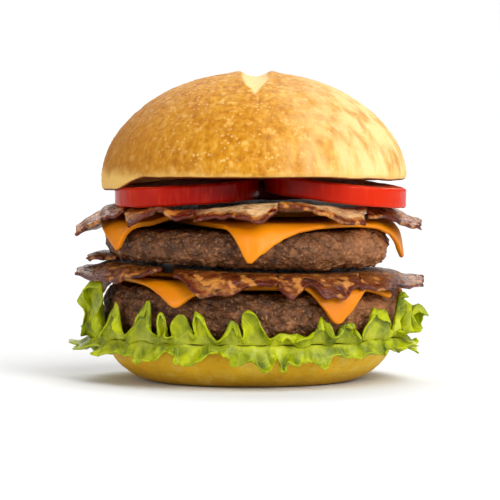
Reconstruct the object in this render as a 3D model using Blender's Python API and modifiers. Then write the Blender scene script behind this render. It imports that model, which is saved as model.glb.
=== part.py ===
"""A double bacon cheeseburger in a crusty roll, standing on the flat foot of its bottom bun.

Lengths are in millimetres and each mesh is scaled to metres as it is made. The stack's axis
is Z, its front faces -Y, and the origin is the middle of the foot. Sheets of cheese and
strips of bacon are laid out flat round the axis and then folded over the rim of the patty
below them, so that none of them can pass through it. Azimuths are in degrees from +X
towards +Y, so the front of the stack is at 270.
"""

import math
from dataclasses import dataclass

import bmesh
import bpy
from mathutils import Vector, noise

MM = 0.001

# Driving dimensions of the stack, from the foot up.
GAP = 0.3
BUN_FOOT_RADIUS = 34.0
BUN_BOTTOM_RADIUS = 50.0
BUN_BOTTOM_HEIGHT = 14.6
LEAF_THICKNESS = 0.7
PATTY_LOWER_HEIGHT = 16.8
PATTY_UPPER_HEIGHT = 14.1
PATTY_SLOPE = -0.035
CHEESE_THICKNESS = 1.8
BACON_THICKNESS = 1.8
TOMATO_THICKNESS = 7.4
BUN_TOP_RADIUS = 54.0
BUN_TOP_DOME = 39.1
BUN_TOP_X = 1.5
BUN_TOP_ROOF = 75.0
BUN_TOP_WIDEST_AT = 69.5

# Heights that follow from them. A sheet's height is that of its middle surface.
LEAF_UNDER_HEIGHT = BUN_BOTTOM_HEIGHT + GAP + LEAF_THICKNESS / 2
LEAF_OVER_HEIGHT = LEAF_UNDER_HEIGHT + LEAF_THICKNESS + GAP
PATTY_LOWER_BOTTOM = LEAF_OVER_HEIGHT + LEAF_THICKNESS / 2 + GAP
PATTY_LOWER_TOP = PATTY_LOWER_BOTTOM + PATTY_LOWER_HEIGHT
CHEESE_LIFT = 1.3 * GAP + CHEESE_THICKNESS / 2
CHEESE_OVER_LIFT = CHEESE_LIFT + CHEESE_THICKNESS + 1.6 * GAP
BACON_LIFT = CHEESE_OVER_LIFT + CHEESE_THICKNESS / 2 + 2.2 * GAP + BACON_THICKNESS / 2
BACON_TOP_LIFT = BACON_LIFT + BACON_THICKNESS / 2
PATTY_UPPER_BOTTOM = PATTY_LOWER_TOP + BACON_TOP_LIFT + GAP
PATTY_UPPER_TOP = PATTY_UPPER_BOTTOM + PATTY_UPPER_HEIGHT
TOMATO_BED = PATTY_UPPER_TOP + BACON_TOP_LIFT + GAP

# How finely each kind of piece is faceted: round it and down it, or across it and along it.
BUN_TOP_FACETS = (42, 15)
BUN_BOTTOM_FACETS = (40, 10)
PATTY_FACETS = (44, 11)
TOMATO_FACETS = (26, 7)
CHEESE_FACETS = (32, 6)
BACON_FACETS = (5, 10)
LEAF_OVER_FACETS_PER_TIP = 5
LEAF_OVER_RINGS = 4
LEAF_UNDER_FACETS_PER_TIP = 4
LEAF_UNDER_RINGS = 4


@dataclass
class Disc:
    """A round slab with rounded rims: a patty or a slice of tomato.

    Its two faces rise along X by the slopes below and above.
    """

    name: str
    x: float
    y: float
    radius: float
    bottom: float
    top: float
    upper_round: float
    lower_round: float
    slope_below: float = 0.0
    slope_above: float = 0.0


@dataclass
class Slice:
    """A slice of cheese, laid flat round the stack's axis.

    Each of its four sides is (the azimuth that it faces, its distance from the axis). The
    first two sides meet at the corner that hangs down in front.
    """

    name: str
    sides: tuple


@dataclass
class Strip:
    """A strip of bacon that runs from the front of the stack to its back.

    The tuples hold values at equal steps from its left side to its right side: where its
    ends are, how steeply each end falls over the rim, and how far it arches in front.
    """

    name: str
    left: float
    right: float
    front: tuple
    back: tuple
    front_fall_deg: tuple
    back_fall_deg: tuple
    arch: tuple = (0.0, 0.0)
    arch_from: float = 36.0
    lift: float = 0.0


@dataclass
class Leaf:
    """A lettuce leaf that runs through the stack, and the tips along its frilled edge.

    A tip is (azimuth, height, radius). Halfway between two tips the edge is near the height
    called between. Overhang makes the waves of the frill pinch at their feet, lean pushes
    them sideways, and flop turns their crests down again at the very edge.
    """

    name: str
    height: float
    tips: tuple
    between: float
    overhang: float
    lean: float
    flop: float


PATTY_LOWER = Disc("patty_lower", 0.2, 0.0, 53.0, PATTY_LOWER_BOTTOM, PATTY_LOWER_TOP,
                   6.5, 5.5, 0.0, PATTY_SLOPE)
PATTY_UPPER = Disc("patty_upper", -0.9, 0.0, 51.0, PATTY_UPPER_BOTTOM, PATTY_UPPER_TOP,
                   5.5, 8.0, PATTY_SLOPE, 0.0)


def tomato_slice(name, x, y, radius, rise, slope):
    bottom = TOMATO_BED + rise
    return Disc(name, x, y, radius, bottom, bottom + TOMATO_THICKNESS, 1.2, 1.2, slope, slope)


TOMATOES = (
    tomato_slice("tomato_left", -21.9, -15.0, 25.7, 0.8, 0.06),
    tomato_slice("tomato_right", 29.5, -14.0, 25.2, 1.6, -0.12),
    tomato_slice("tomato_back", 2.0, 25.0, 21.2, 0.3, 0.0),
)

CHEESE_LOWER = (
    Slice("cheese_lower_under", ((203.0, 47.4), (291.0, 40.4), (21.0, 39.0), (111.0, 38.0))),
    Slice("cheese_lower_over", ((244.4, 35.2), (342.7, 49.4), (72.0, 36.0), (155.0, 42.0))),
)
CHEESE_UPPER = (
    Slice("cheese_upper_under", ((204.0, 26.2), (312.0, 48.2), (42.0, 44.8), (132.0, 40.0))),
    Slice("cheese_upper_over", ((182.0, 52.0), (287.0, 17.5), (10.0, 40.0), (97.0, 38.0))),
)

BACON_LOWER = (
    Strip("bacon_lower_left", -61.0, -31.0, (-6.0, -24.0, -35.0, -38.0, -39.0),
          (12.0, 33.0, 42.0, 46.0), (13.0, 40.0, 56.0, 50.0, 35.0), (12.0, 25.0, 40.0)),
    Strip("bacon_lower_scrap", -57.0, -49.6, (-5.0, -7.0, -4.0), (20.0, 26.0, 22.0),
          (6.0, 6.0, 6.0), (6.0, 6.0, 6.0), lift=2.3),
    Strip("bacon_lower_front", -26.5, 8.6, (-44.0, -59.3, -59.3, -55.3, -54.3),
          (50.0, 58.0, 60.0, 57.0), (40.0, 72.0, 68.0, 50.0, 40.0), (40.0, 15.0, 50.0, 30.0)),
    Strip("bacon_lower_middle", 9.6, 37.4, (-54.5, -59.0, -51.0, -55.0, -51.0, -42.0),
          (59.0, 56.0, 50.0, 48.0), (50.0, 70.0, 35.0, 68.0, 66.0, 50.0), (25.0, 55.0, 20.0)),
    Strip("bacon_lower_right", 38.4, 60.5, (-41.0, -36.0, -24.0, -9.0),
          (44.0, 36.0, 24.0, 9.0), (40.0, 30.0, 24.0, 18.0), (35.0, 20.0, 12.0)),
)
BACON_UPPER = (
    Strip("bacon_upper_far_left", -61.5, -43.2, (-12.0, -20.0, -27.0),
          (31.0, 34.0, 30.0), (40.0, 40.0, 40.0), (30.0, 40.0, 45.0)),
    Strip("bacon_upper_left", -42.0, -18.9, (-38.0, -40.0, -42.0, -48.0, -48.0),
          (36.0, 45.0, 51.0), (75.0, 60.0, 12.0, 45.0, 35.0), (20.0, 60.0, 25.0),
          (0.0, 0.5, 3.0, 0.5, 0.0), 44.0),
    Strip("bacon_upper_front", -17.8, 10.0, (-48.5, -52.5, -55.0, -57.5, -53.0),
          (52.0, 57.0, 55.0), (25.0, 40.0, 55.0, 60.0, 40.0), (45.0, 20.0, 50.0),
          (0.0, 1.5, 2.8, 2.8)),
    Strip("bacon_upper_middle", 11.2, 40.6, (-50.0, -49.0, -46.5, -45.0, -39.5),
          (54.0, 50.0, 42.0), (20.0, 20.0, 25.0, 60.0, 80.0), (30.0, 15.0, 40.0),
          (4.2, 3.4, 2.0, 0.6, 0.0), 38.0),
    Strip("bacon_upper_far_right", 41.8, 62.0, (-30.0, -22.0, -12.0),
          (33.0, 30.0, 20.0), (34.0, 34.0, 34.0), (40.0, 30.0, 25.0)),
)

# The tips of the lettuce that show in front and at the sides. The back follows by a rule.
CURLS_IN_FRONT = (
    (167.0, 28.0, 61.0), (181.0, 32.0, 62.5), (195.0, 35.5, 60.5), (211.0, 28.0, 59.5),
    (226.5, 29.5, 58.0), (236.5, 24.5, 58.0), (245.0, 26.0, 58.5), (252.5, 26.5, 58.5),
    (263.5, 24.5, 59.0), (273.5, 27.5, 58.5), (282.5, 20.0, 58.5), (294.0, 24.5, 60.0),
    (306.0, 22.5, 59.0), (321.5, 27.0, 60.0), (338.0, 31.0, 61.5), (353.0, 27.0, 64.5),
    (368.0, 25.0, 62.0),
)
TEETH_IN_FRONT = (
    (170.0, 13.0, 62.5), (183.0, 13.5, 66.0), (196.0, 12.5, 60.5), (212.0, 13.0, 59.0),
    (228.0, 8.6, 58.5), (240.0, 12.5, 58.5), (247.0, 8.2, 58.5), (257.0, 13.0, 58.5),
    (266.5, 9.4, 59.0), (274.5, 8.0, 59.0), (281.5, 8.2, 59.0), (288.5, 8.5, 59.0),
    (297.0, 9.0, 59.5), (306.0, 11.5, 59.5), (315.0, 10.5, 59.5), (331.0, 12.5, 60.5),
    (346.0, 13.0, 61.5), (361.0, 13.0, 62.0),
)
CURLS_BEHIND = 12
TEETH_BEHIND = 14


def smooth_step(low, high, value):
    share = min(max((value - low) / (high - low), 0.0), 1.0)
    return share * share * (3.0 - 2.0 * share)


def value_along(values, share):
    """The value at a share of the way through equally spaced values, with eased steps."""
    place = min(max(share, 0.0), 1.0) * (len(values) - 1)
    first = min(int(place), len(values) - 2)
    ease = smooth_step(0.0, 1.0, place - first)
    return values[first] * (1.0 - ease) + values[first + 1] * ease


def lumps(x, y, z, size, seed):
    """Smooth noise from -1 to 1 with lumps about the given size."""
    return noise.noise(Vector((x / size + seed, y / size, z / size)))


def tips_all_round(in_front, count_behind, height, seed):
    """The given tips, and more behind them that fill the circle unevenly."""
    start, end = in_front[-1][0], in_front[0][0] + 360.0
    step = (end - start) / (count_behind + 1)
    tips = list(in_front)
    for index in range(count_behind):
        azimuth_deg = start + step * (index + 1 + 0.22 * lumps(index, 0.0, 0.0, 1.7, seed))
        tip_height = height + 3.0 * lumps(index, 5.0, 0.0, 1.3, seed)
        radius = 60.0 + 3.5 * lumps(index, 9.0, 0.0, 1.9, seed)
        tips.append((azimuth_deg, tip_height, radius))
    return tuple(tips)


LEAF_OVER = Leaf("lettuce_over", LEAF_OVER_HEIGHT,
                 tips_all_round(CURLS_IN_FRONT, CURLS_BEHIND, 23.5, 2.4), 15.6, 0.4, 3.2, 4.0)
LEAF_UNDER = Leaf("lettuce_under", LEAF_UNDER_HEIGHT,
                  tips_all_round(TEETH_IN_FRONT, TEETH_BEHIND, 9.0, 6.8), 11.0, 0.2, 2.0, 0.0)


def matte_colour(name, colour, roughness):
    made = bpy.data.materials.new(name)
    made.use_nodes = True
    made.diffuse_color = (*colour, 1.0)
    shader = made.node_tree.nodes["Principled BSDF"]
    shader.inputs["Base Color"].default_value = (*colour, 1.0)
    shader.inputs["Roughness"].default_value = roughness
    shader.inputs["Metallic"].default_value = 0.0
    return made


def add_object(name, shape, collection, material):
    """Turns a finished bmesh, in millimetres, into an object in metres."""
    bmesh.ops.scale(shape, vec=(MM, MM, MM), verts=shape.verts)
    mesh = bpy.data.meshes.new(name)
    shape.to_mesh(mesh)
    shape.free()
    mesh.materials.append(material)
    made = bpy.data.objects.new(name, mesh)
    collection.objects.link(made)
    return made


def turned_body(name, facets, place, collection, material):
    """A UV sphere whose points move to place(azimuth, fall); fall is 0 at the top pole."""
    shape = bmesh.new()
    bmesh.ops.create_uvsphere(shape, u_segments=facets[0], v_segments=facets[1], radius=1.0)
    for vertex in shape.verts:
        azimuth = math.atan2(vertex.co.y, vertex.co.x)
        fall = math.acos(min(max(vertex.co.z, -1.0), 1.0)) / math.pi
        vertex.co = place(azimuth, fall)
    made = add_object(name, shape, collection, material)
    made.data.shade_smooth()
    return made


def thicken(made, thickness):
    """Makes a surface a sheet with that surface in its middle."""
    solid = made.modifiers.new("thickness", "SOLIDIFY")
    solid.thickness = thickness * MM
    solid.offset = 0.0


def long_sheet(name, facets, place, thickness, collection, material):
    """A sheet with four sides, whose middle surface is place(u, v)."""
    shape = bmesh.new()
    bmesh.ops.create_grid(shape, x_segments=facets[0], y_segments=facets[1], size=1.0)
    for vertex in shape.verts:
        vertex.co = place((vertex.co.x + 1.0) / 2.0, (vertex.co.y + 1.0) / 2.0)
    bmesh.ops.triangulate(shape, faces=shape.faces, quad_method="FIXED")
    thicken(add_object(name, shape, collection, material), thickness)


def round_sheet(name, facets, place, thickness, collection, material):
    """A sheet all round the axis, whose middle surface is place(turn, out).

    It is the upper half of a UV sphere laid out flat. Turn goes from 0 to 1 round the axis,
    and out from 0 at the axis to 1 at the edge.
    """
    shape = bmesh.new()
    bmesh.ops.create_uvsphere(shape, u_segments=facets[0], v_segments=2 * facets[1], radius=1.0)
    lower_half = [vertex for vertex in shape.verts if vertex.co.z < -0.001]
    bmesh.ops.delete(shape, geom=lower_half, context="VERTS")
    for vertex in shape.verts:
        turn = math.atan2(vertex.co.y, vertex.co.x) / (2.0 * math.pi) % 1.0
        out = math.acos(min(max(vertex.co.z, 0.0), 1.0)) / (math.pi / 2.0)
        vertex.co = place(turn, out)
    bmesh.ops.triangulate(shape, faces=shape.faces, quad_method="FIXED")
    thicken(add_object(name, shape, collection, material), thickness)


def disc_section(disc, fall):
    """(radius, height, outward, upward) on a disc's skin, from its top centre at fall 0."""
    face_share = 0.2
    if fall <= face_share:
        return (disc.radius - disc.upper_round) * fall / face_share, disc.top, 0.0, 1.0
    if fall >= 1.0 - face_share:
        inward = (1.0 - fall) / face_share
        return (disc.radius - disc.lower_round) * inward, disc.bottom, 0.0, -1.0
    upper = disc.upper_round * math.pi / 2.0
    lower = disc.lower_round * math.pi / 2.0
    side = disc.top - disc.bottom - disc.upper_round - disc.lower_round
    along = (fall - face_share) / (1.0 - 2.0 * face_share) * (upper + side + lower)
    if along < upper:
        turn = along / disc.upper_round
        radius = disc.radius - disc.upper_round * (1.0 - math.sin(turn))
        height = disc.top - disc.upper_round * (1.0 - math.cos(turn))
        return radius, height, math.sin(turn), math.cos(turn)
    if along < upper + side:
        return disc.radius, disc.top - disc.upper_round - (along - upper), 1.0, 0.0
    turn = (along - upper - side) / disc.lower_round
    radius = disc.radius - disc.lower_round * (1.0 - math.cos(turn))
    height = disc.bottom + disc.lower_round * (1.0 - math.sin(turn))
    return radius, height, math.cos(turn), -math.sin(turn)


def face_slope(disc, x, height):
    """What the slopes of a disc's faces add at a height between them."""
    share = (height - disc.bottom) / (disc.top - disc.bottom)
    return x * (disc.slope_below * (1.0 - share) + disc.slope_above * share)


def patty_point(disc, azimuth, fall):
    """A point of a patty: its smooth envelope, with crags cut into it."""
    mean_depth, least_depth, deeper_on_rim, shallower_on_faces = 1.1, 0.85, 1.2, 0.5
    radius, height, outward, upward = disc_section(disc, fall)
    x = radius * math.cos(azimuth)
    y = radius * math.sin(azimuth)
    crag = mean_depth + 0.5 * lumps(x, y, height, 7.0, disc.bottom)
    crag += 0.35 * lumps(x, y, height, 3.2, disc.top)
    crag = max(crag, least_depth) + deeper_on_rim * outward * max(upward, 0.0)
    radius -= outward * crag
    height -= upward * (crag - shallower_on_faces)
    x = radius * math.cos(azimuth)
    y = radius * math.sin(azimuth)
    return Vector((disc.x + x, disc.y + y, height + face_slope(disc, x, height)))


def tomato_point(disc, azimuth, fall):
    """A point of a tomato slice, slightly lobed."""
    section_radius, height, _, _ = disc_section(disc, fall)
    dent = 0.25 + 0.25 * math.sin(5.0 * azimuth + disc.x)
    radius = section_radius * (1.0 - dent / disc.radius)
    x = radius * math.cos(azimuth)
    y = radius * math.sin(azimuth)
    return Vector((disc.x + x, disc.y + y, height + face_slope(disc, x, height)))


def bun_bottom_point(azimuth, fall):
    """A point of the bottom bun: cut face, short edge, swelling side and flat foot."""
    cut_share, side_share, edge = 0.26, 0.78, 1.4
    swell = BUN_BOTTOM_RADIUS - BUN_FOOT_RADIUS
    side_power = 2.0 / 1.7
    if fall <= cut_share:
        radius = (BUN_BOTTOM_RADIUS - edge) * fall / cut_share
        height = BUN_BOTTOM_HEIGHT
    elif fall <= side_share:
        turn = (side_share - fall) / (side_share - cut_share) * math.pi / 2.0
        radius = BUN_FOOT_RADIUS + swell * math.sin(turn) ** side_power
        height = (BUN_BOTTOM_HEIGHT - edge) * (1.0 - math.cos(turn) ** side_power)
    else:
        radius = BUN_FOOT_RADIUS * (1.0 - fall) / (1.0 - side_share)
        height = 0.0
    x = radius * math.cos(azimuth)
    y = radius * math.sin(azimuth)
    on_side = smooth_step(0.0, 4.0, height) * smooth_step(BUN_FOOT_RADIUS, 44.0, radius)
    radius += 0.7 * on_side * lumps(x, y, 0.0, 22.0, 3.1)
    return Vector((radius * math.cos(azimuth), radius * math.sin(azimuth), height))


def bun_top_roof(x, y):
    """Height of the top bun's cut face, whose rim droops over the filling."""
    droop_round = (5.8, 7.5, 8.5, 8.5, 8.5, 9.5, 10.5, 10.5, 10.5, 9.5, 3.0, 2.4, 2.3, 2.3,
                   3.6, 5.2, 5.8)
    turn = math.atan2(y, x) / (2.0 * math.pi) % 1.0
    droop = value_along(droop_round, turn)
    return BUN_TOP_ROOF - droop * smooth_step(47.5, 54.0, math.hypot(x, y))


def score_depth(x, y):
    """Depth of the baker's cut along the crown, a lens that opens in the middle."""
    centre_x, half_length, half_width, deepest = 0.3, 27.0, 5.0, 1.8
    run = 1.0 - (y / half_length) ** 2
    if run <= 0.0:
        return 0.0
    across = (x - centre_x) / (half_width * math.sqrt(run))
    lip = 0.4 * math.exp(-((abs(across) - 1.25) / 0.3) ** 2) * run
    return deepest * run * max(0.0, 1.0 - across * across) - lip


def bun_top_point(azimuth, fall):
    """A point of the top bun: domed crust, rounded rim and cut face."""
    crust_share, rim_share, edge = 0.68, 0.78, 1.9
    along = Vector((math.cos(azimuth), math.sin(azimuth), 0.0))
    near_rim = along * (BUN_TOP_RADIUS - edge)
    rim_height = bun_top_roof(near_rim.x, near_rim.y) + edge
    last_turn = math.acos((rim_height - BUN_TOP_WIDEST_AT) / BUN_TOP_DOME)
    rim_radius = BUN_TOP_RADIUS * math.sin(last_turn)
    if fall <= crust_share:
        turn = last_turn * fall / crust_share
        place = along * (BUN_TOP_RADIUS * math.sin(turn))
        place.z = BUN_TOP_WIDEST_AT + BUN_TOP_DOME * math.cos(turn)
        swell = 0.7 * lumps(place.x, place.y, place.z, 26.0, 5.7) * math.sin(turn)
        place.z -= score_depth(place.x, place.y) * math.cos(turn)
        place += along * swell
    elif fall <= rim_share:
        turn = (fall - crust_share) / (rim_share - crust_share) * math.pi / 2.0
        place = along * (rim_radius - edge * (1.0 - math.cos(turn)))
        place.z = rim_height - edge * math.sin(turn)
    else:
        inward = (fall - rim_share) / (1.0 - rim_share)
        place = along * ((rim_radius - edge) * (1.0 - inward**1.6))
        place.z = bun_top_roof(place.x, place.y)
    place.x += BUN_TOP_X
    return place


def over_rim(disc, x, y, lift, steepest):
    """Folds the point (x, y) of a flat sheet over a disc's rim.

    The sheet's middle lies lift above the disc's top, turns down over its upper rim, and
    once it is as steep as allowed it goes straight on.
    """
    reach = math.hypot(x, y)
    flat = disc.radius - disc.upper_round
    bend = disc.upper_round + lift
    level = disc.top - disc.upper_round
    if reach <= flat:
        return Vector((disc.x + x, disc.y + y, level + bend + disc.slope_above * x))
    turn = min((reach - flat) / bend, steepest)
    hang = reach - flat - bend * turn
    radius = flat + bend * math.sin(turn) + hang * math.cos(steepest)
    x *= radius / reach
    y *= radius / reach
    height = level + bend * math.cos(turn) - hang * math.sin(steepest)
    return Vector((disc.x + x, disc.y + y, height + disc.slope_above * x))


def slice_edge(piece, azimuth):
    """Distance from the axis to a slice's edge: straight sides with slightly soft corners."""
    corner_power = 18.0
    closeness = 0.0
    for faces_deg, distance in piece.sides:
        towards = math.cos(azimuth - math.radians(faces_deg))
        closeness += (max(towards, 0.0) / distance) ** corner_power
    return closeness ** (-1.0 / corner_power)


def slice_corner(first_side, second_side):
    """(x, y) where two sides of a slice meet."""
    first = math.radians(first_side[0])
    second = math.radians(second_side[0])
    size = math.sin(second - first)
    x = (first_side[1] * math.sin(second) - second_side[1] * math.sin(first)) / size
    y = (second_side[1] * math.cos(first) - first_side[1] * math.cos(second)) / size
    return x, y


def round_the_edge(piece, turn):
    """Azimuth at a share of the way round a slice, in equal steps along each side."""
    side = min(int(turn * 4.0), 3)
    share = turn * 4.0 - side
    sides = piece.sides
    start = slice_corner(sides[side], sides[(side + 1) % 4])
    end = slice_corner(sides[(side + 1) % 4], sides[(side + 2) % 4])
    return math.atan2(start[1] + (end[1] - start[1]) * share,
                      start[0] + (end[0] - start[0]) * share)


def cheese_point(patty, piece, under, turn, out):
    """A point of a slice's middle surface; the slice on top sinks to the patty past the other.

    The six rings of the mesh are: two where the slice is flat, three round the bend over the
    rim and the edge.
    """
    steepest = math.radians(80.0)
    clear_of_bend, sinks_from, sunk_by = 0.5, 8.0, 18.0
    azimuth = round_the_edge(piece, turn)
    edge = slice_edge(piece, azimuth)
    bend_from = patty.radius - patty.upper_round
    bend_to = bend_from + (patty.upper_round + CHEESE_LIFT) * steepest
    outer = min(bend_from, 0.9 * edge)
    knee = min(bend_to, outer + 0.75 * (edge - outer))
    reaches = (0.0, 0.8 * outer, outer, outer + (knee - outer) / 3.0,
               outer + (knee - outer) / 1.5, knee, edge)
    ring = min(int(out * 6.0 + 0.001), 5)
    share = out * 6.0 - ring
    reach = reaches[ring] * (1.0 - share) + reaches[ring + 1] * share
    lift = CHEESE_LIFT + clear_of_bend * smooth_step(bend_from - 2.0, bend_to, reach)
    if under is not None:
        past = reach - slice_edge(under, azimuth)
        lift += (CHEESE_OVER_LIFT - CHEESE_LIFT) * smooth_step(sunk_by, sinks_from, past)
    return over_rim(patty, reach * math.cos(azimuth), reach * math.sin(azimuth), lift,
                    steepest)


def bacon_point(patty, strip, u, v):
    """A point of a strip's middle surface; v runs from its front end to its back end.

    Both ends, where the strip bends, take two fifths of v each.
    """
    x = strip.left + (strip.right - strip.left) * u
    front = value_along(strip.front, u)
    back = value_along(strip.back, u)
    bend_from = patty.radius - patty.upper_round
    half_flat = math.sqrt(max(bend_from * bend_from - x * x, 0.0))
    front_bend = -min(max(half_flat, -0.25 * front), -0.9 * front)
    back_bend = min(max(half_flat, 0.25 * back), 0.9 * back)
    if v <= 0.4:
        y = front + (front_bend - front) * v / 0.4
    elif v <= 0.6:
        y = front_bend + (back_bend - front_bend) * (v - 0.4) / 0.2
    else:
        y = back_bend + (back - back_bend) * (v - 0.6) / 0.4
    behind = smooth_step(-12.0, 12.0, y)
    fall_deg = value_along(strip.front_fall_deg, u) * (1.0 - behind)
    fall_deg += value_along(strip.back_fall_deg, u) * behind
    place = over_rim(patty, x, y, BACON_LIFT + strip.lift, math.radians(fall_deg))
    reach = math.hypot(x, y)
    bump = smooth_step(strip.arch_from, strip.arch_from + 12.0, reach) * (1.0 - behind)
    place.z += value_along(strip.arch, u) * bump
    return place


def leaf_point(leaf, turn, out):
    """A point of a leaf's middle surface: flat inside the stack, frilled outside it."""
    flat_share, rim_radius, frill_radius = 0.25, 51.6, 60.0
    full_height_at, flops_from, wave_size = 0.75, 0.55, 12.0
    place = turn * len(leaf.tips)
    first = int(place) % len(leaf.tips)
    share = place % 1.0
    azimuth_deg, height, radius = leaf.tips[first]
    next_azimuth_deg, next_height, next_radius = leaf.tips[(first + 1) % len(leaf.tips)]
    azimuth_deg += ((next_azimuth_deg - azimuth_deg) % 360.0) * share
    ease = smooth_step(0.2, 0.8, share)
    height += (next_height - height) * ease
    edge_radius = radius + (next_radius - radius) * ease
    near_tip = 0.5 + 0.5 * math.cos(2.0 * math.pi * share)
    azimuth = math.radians(azimuth_deg)
    if out <= flat_share:
        reach = rim_radius * out / flat_share
        return Vector((reach * math.cos(azimuth), reach * math.sin(azimuth), leaf.height))
    outside = (out - flat_share) / (1.0 - flat_share)
    grow = smooth_step(0.0, full_height_at, outside)
    x = frill_radius * math.cos(azimuth)
    y = frill_radius * math.sin(azimuth)
    near_tip **= 0.8 + 0.6 * lumps(x, y, 4.0, wave_size, leaf.height)
    between = leaf.between + 1.6 * lumps(x, y, 0.0, wave_size, leaf.height)
    sideways = leaf.lean * lumps(x, y, 9.0, wave_size, leaf.height)
    sideways += leaf.overhang * math.sin(4.0 * math.pi * share)
    reach = rim_radius + (edge_radius - rim_radius) * outside
    azimuth += sideways * grow / reach
    flop = leaf.flop * (1.0 + 1.4 * lumps(x, y, 14.0, wave_size, leaf.height))
    edge_height = between + (height + 0.3 * flop - between) * near_tip
    z = leaf.height + (edge_height - leaf.height) * grow
    z -= flop * near_tip * smooth_step(flops_from, 1.0, outside)
    return Vector((reach * math.cos(azimuth), reach * math.sin(azimuth), z))


def clear_scene():
    for old in list(bpy.data.objects):
        bpy.data.objects.remove(old)


def build():
    clear_scene()
    burger = bpy.data.collections.new("bacon_cheeseburger")
    bpy.context.scene.collection.children.link(burger)

    crust = matte_colour("crust", (0.78, 0.45, 0.12), 0.6)
    pale_crust = matte_colour("pale_crust", (0.74, 0.56, 0.2), 0.65)
    meat = matte_colour("meat", (0.16, 0.075, 0.04), 0.55)
    cheese = matte_colour("cheese", (0.9, 0.42, 0.02), 0.4)
    bacon = matte_colour("bacon", (0.34, 0.09, 0.04), 0.35)
    tomato = matte_colour("tomato", (0.7, 0.05, 0.01), 0.25)
    leaf_green = matte_colour("leaf_green", (0.42, 0.58, 0.04), 0.45)

    turned_body("bun_bottom", BUN_BOTTOM_FACETS, bun_bottom_point, burger, pale_crust)
    leaves = ((LEAF_UNDER, LEAF_UNDER_FACETS_PER_TIP, LEAF_UNDER_RINGS),
              (LEAF_OVER, LEAF_OVER_FACETS_PER_TIP, LEAF_OVER_RINGS))
    for leaf, facets_per_tip, rings in leaves:
        round_sheet(leaf.name, (facets_per_tip * len(leaf.tips), rings),
                    lambda turn, out: leaf_point(leaf, turn, out),
                    LEAF_THICKNESS, burger, leaf_green)

    floors = ((PATTY_LOWER, CHEESE_LOWER, BACON_LOWER), (PATTY_UPPER, CHEESE_UPPER, BACON_UPPER))
    for patty, slices, strips in floors:
        turned_body(patty.name, PATTY_FACETS,
                    lambda azimuth, fall: patty_point(patty, azimuth, fall), burger, meat)
        under = None
        for piece in slices:
            round_sheet(piece.name, CHEESE_FACETS,
                        lambda turn, out: cheese_point(patty, piece, under, turn, out),
                        CHEESE_THICKNESS, burger, cheese)
            under = piece
        for strip in strips:
            long_sheet(strip.name, BACON_FACETS, lambda u, v: bacon_point(patty, strip, u, v),
                       BACON_THICKNESS, burger, bacon)

    for disc in TOMATOES:
        turned_body(disc.name, TOMATO_FACETS,
                    lambda azimuth, fall: tomato_point(disc, azimuth, fall), burger, tomato)
    turned_body("bun_top", BUN_TOP_FACETS, bun_top_point, burger, crust)


build()
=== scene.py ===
"""The looks of the double bacon cheeseburger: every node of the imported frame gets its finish.

Lengths are in millimetres, in the frame of the CAD model: Z is the stack's axis, the front
faces -Y, and the origin is the middle of the bottom bun's foot. The shapes are those of the
solids with finer relief, and nothing leaves the box round the solids.
"""

import math
from dataclasses import dataclass

import bmesh
import bpy
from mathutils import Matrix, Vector, noise


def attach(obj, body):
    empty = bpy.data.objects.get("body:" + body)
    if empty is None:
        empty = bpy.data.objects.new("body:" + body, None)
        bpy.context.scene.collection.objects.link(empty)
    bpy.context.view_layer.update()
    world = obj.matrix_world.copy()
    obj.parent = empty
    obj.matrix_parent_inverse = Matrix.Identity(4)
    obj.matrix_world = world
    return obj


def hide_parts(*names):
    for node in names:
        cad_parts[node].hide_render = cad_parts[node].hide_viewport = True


MM = 0.001

# Driving dimensions of the stack, from the foot up, as in the solids.
GAP = 0.3
BUN_FOOT_RADIUS = 34.0
BUN_BOTTOM_RADIUS = 50.0
BUN_BOTTOM_HEIGHT = 14.6
LEAF_THICKNESS = 0.7
PATTY_LOWER_HEIGHT = 16.8
PATTY_UPPER_HEIGHT = 14.1
PATTY_SLOPE = -0.035
CHEESE_THICKNESS = 1.8
BACON_THICKNESS = 1.8
TOMATO_THICKNESS = 7.4
BUN_TOP_RADIUS = 54.0
BUN_TOP_DOME = 39.1
BUN_TOP_X = 1.5
BUN_TOP_ROOF = 75.0
BUN_TOP_WIDEST_AT = 69.5

LEAF_UNDER_HEIGHT = BUN_BOTTOM_HEIGHT + GAP + LEAF_THICKNESS / 2
LEAF_OVER_HEIGHT = LEAF_UNDER_HEIGHT + LEAF_THICKNESS + GAP
PATTY_LOWER_BOTTOM = LEAF_OVER_HEIGHT + LEAF_THICKNESS / 2 + GAP
PATTY_LOWER_TOP = PATTY_LOWER_BOTTOM + PATTY_LOWER_HEIGHT
CHEESE_LIFT = 1.3 * GAP + CHEESE_THICKNESS / 2
CHEESE_OVER_LIFT = CHEESE_LIFT + CHEESE_THICKNESS + 1.6 * GAP
BACON_LIFT = CHEESE_OVER_LIFT + CHEESE_THICKNESS / 2 + 2.2 * GAP + BACON_THICKNESS / 2
BACON_TOP_LIFT = BACON_LIFT + BACON_THICKNESS / 2
PATTY_UPPER_BOTTOM = PATTY_LOWER_TOP + BACON_TOP_LIFT + GAP
PATTY_UPPER_TOP = PATTY_UPPER_BOTTOM + PATTY_UPPER_HEIGHT
TOMATO_BED = PATTY_UPPER_TOP + BACON_TOP_LIFT + GAP

# How finely each kind of piece is meshed: round it and down it, or across it and along it.
BUN_MESH = (270, 135)
PATTY_MESH = (380, 110)
TOMATO_MESH = (200, 60)
CHEESE_MESH = (160, 60)
BACON_MESH = (30, 74)
LEAF_COLUMNS_PER_TIP = 20
LEAF_RINGS = 30

# Bacon and lettuce are shown a little thinner than their solids.
BACON_LOOK_THICKNESS = 0.7 * BACON_THICKNESS
LEAF_LOOK_THICKNESS = 0.6

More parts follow.
